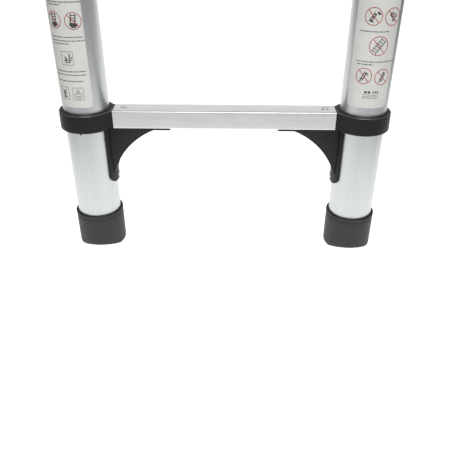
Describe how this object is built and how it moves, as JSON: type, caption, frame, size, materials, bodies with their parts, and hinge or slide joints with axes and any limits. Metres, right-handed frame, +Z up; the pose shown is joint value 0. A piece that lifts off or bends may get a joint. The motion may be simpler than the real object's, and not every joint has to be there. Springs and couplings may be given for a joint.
{
  "type": "telescopic extension ladder",
  "caption": "Telescopic extension ladder, shown closed: nested round aluminium rails that slide out rung by rung, with thumb latches, black collars, gussets and rubber feet.",
  "frame": {"origin": "on the floor, midway between the two rails", "axes": "+Z up along the rails, +X to the right along the rungs, -Y towards the front, where the labels and thumb latches are"},
  "size_m": [0.472, 0.078, 0.6511],
  "materials": {
    "rail_alloy": "drawn and satin anodised tube",
    "rung_alloy": "extruded, satin anodised, fine ribs along the tread",
    "black_moulding": "glass-filled moulding, fine spark texture",
    "foot_rubber": "moulded rubber, dusty matt",
    "label_film": "printed vinyl label",
    "rivet_metal": "domed rivet head",
    "latch_plastic": "ribbed thumb slide with a steel lock pin",
    "spring_steel": "bright spring wire",
    "cap_plastic": "moulded cap"
  },
  "bodies": {
    "base": {"foot_left": "foot_rubber", "rail_1_left": "rail_alloy", "bottom_collar_left": "black_moulding", "gusset_left": "black_moulding", "label_left": "label_film", "tread_rivet_left": "rivet_metal", "gusset_rivet_left": "rivet_metal", "foot_right": "foot_rubber", "rail_1_right": "rail_alloy", "bottom_collar_right": "black_moulding", "gusset_right": "black_moulding", "label_right": "label_film", "tread_rivet_right": "rivet_metal", "gusset_rivet_right": "rivet_metal", "bottom_rung": "rung_alloy", "rung_2": "rung_alloy", "connector_2_left": "black_moulding", "latch_spring_2_left": "spring_steel", "connector_2_right": "black_moulding", "latch_spring_2_right": "spring_steel"},
    "latch_2_left": {"latch_2_left": "latch_plastic"},
    "latch_2_right": {"latch_2_right": "latch_plastic"},
    "stage_2": {"rail_2_left": "rail_alloy", "rail_2_right": "rail_alloy", "rung_3": "rung_alloy", "connector_3_left": "black_moulding", "latch_spring_3_left": "spring_steel", "connector_3_right": "black_moulding", "latch_spring_3_right": "spring_steel"},
    "latch_3_left": {"latch_3_left": "latch_plastic"},
    "latch_3_right": {"latch_3_right": "latch_plastic"},
    "stage_3": {"rail_3_left": "rail_alloy", "rail_3_right": "rail_alloy", "rung_4": "rung_alloy", "connector_4_left": "black_moulding", "latch_spring_4_left": "spring_steel", "connector_4_right": "black_moulding", "latch_spring_4_right": "spring_steel"},
    "latch_4_left": {"latch_4_left": "latch_plastic"},
    "latch_4_right": {"latch_4_right": "latch_plastic"},
    "stage_4": {"rail_4_left": "rail_alloy", "rail_4_right": "rail_alloy", "rung_5": "rung_alloy", "connector_5_left": "black_moulding", "latch_spring_5_left": "spring_steel", "connector_5_right": "black_moulding", "latch_spring_5_right": "spring_steel"},
    "latch_5_left": {"latch_5_left": "latch_plastic"},
    "latch_5_right": {"latch_5_right": "latch_plastic"},
    "stage_5": {"rail_5_left": "rail_alloy", "rail_5_right": "rail_alloy", "rung_6": "rung_alloy", "connector_6_left": "black_moulding", "top_cap_left": "cap_plastic", "connector_6_right": "black_moulding", "top_cap_right": "cap_plastic"}
  },
  "joints": [
    {"name": "latch_2_left_slide", "type": "slide", "parent": "base", "child": "latch_2_left", "axis": [1, 0, 0], "range_m": [0, 0.008], "stiffness_N_per_m": 400, "springref_m": -0.012, "deforming": ["latch_spring_2_left"]},
    {"name": "latch_2_right_slide", "type": "slide", "parent": "base", "child": "latch_2_right", "axis": [-1, 0, 0], "range_m": [0, 0.008], "stiffness_N_per_m": 400, "springref_m": -0.012, "deforming": ["latch_spring_2_right"]},
    {"name": "stage_2_slide", "type": "slide", "parent": "base", "child": "stage_2", "axis": [0, 0, 1], "range_m": [0, 0.256]},
    {"name": "latch_3_left_slide", "type": "slide", "parent": "stage_2", "child": "latch_3_left", "axis": [1, 0, 0], "range_m": [0, 0.008], "stiffness_N_per_m": 400, "springref_m": -0.012, "deforming": ["latch_spring_3_left"]},
    {"name": "latch_3_right_slide", "type": "slide", "parent": "stage_2", "child": "latch_3_right", "axis": [-1, 0, 0], "range_m": [0, 0.008], "stiffness_N_per_m": 400, "springref_m": -0.012, "deforming": ["latch_spring_3_right"]},
    {"name": "stage_3_slide", "type": "slide", "parent": "stage_2", "child": "stage_3", "axis": [0, 0, 1], "range_m": [0, 0.256]},
    {"name": "latch_4_left_slide", "type": "slide", "parent": "stage_3", "child": "latch_4_left", "axis": [1, 0, 0], "range_m": [0, 0.008], "stiffness_N_per_m": 400, "springref_m": -0.012, "deforming": ["latch_spring_4_left"]},
    {"name": "latch_4_right_slide", "type": "slide", "parent": "stage_3", "child": "latch_4_right", "axis": [-1, 0, 0], "range_m": [0, 0.008], "stiffness_N_per_m": 400, "springref_m": -0.012, "deforming": ["latch_spring_4_right"]},
    {"name": "stage_4_slide", "type": "slide", "parent": "stage_3", "child": "stage_4", "axis": [0, 0, 1], "range_m": [0, 0.256]},
    {"name": "latch_5_left_slide", "type": "slide", "parent": "stage_4", "child": "latch_5_left", "axis": [1, 0, 0], "range_m": [0, 0.008], "stiffness_N_per_m": 400, "springref_m": -0.012, "deforming": ["latch_spring_5_left"]},
    {"name": "latch_5_right_slide", "type": "slide", "parent": "stage_4", "child": "latch_5_right", "axis": [-1, 0, 0], "range_m": [0, 0.008], "stiffness_N_per_m": 400, "springref_m": -0.012, "deforming": ["latch_spring_5_right"]},
    {"name": "stage_5_slide", "type": "slide", "parent": "stage_4", "child": "stage_5", "axis": [0, 0, 1], "range_m": [0, 0.256]}
  ]
}
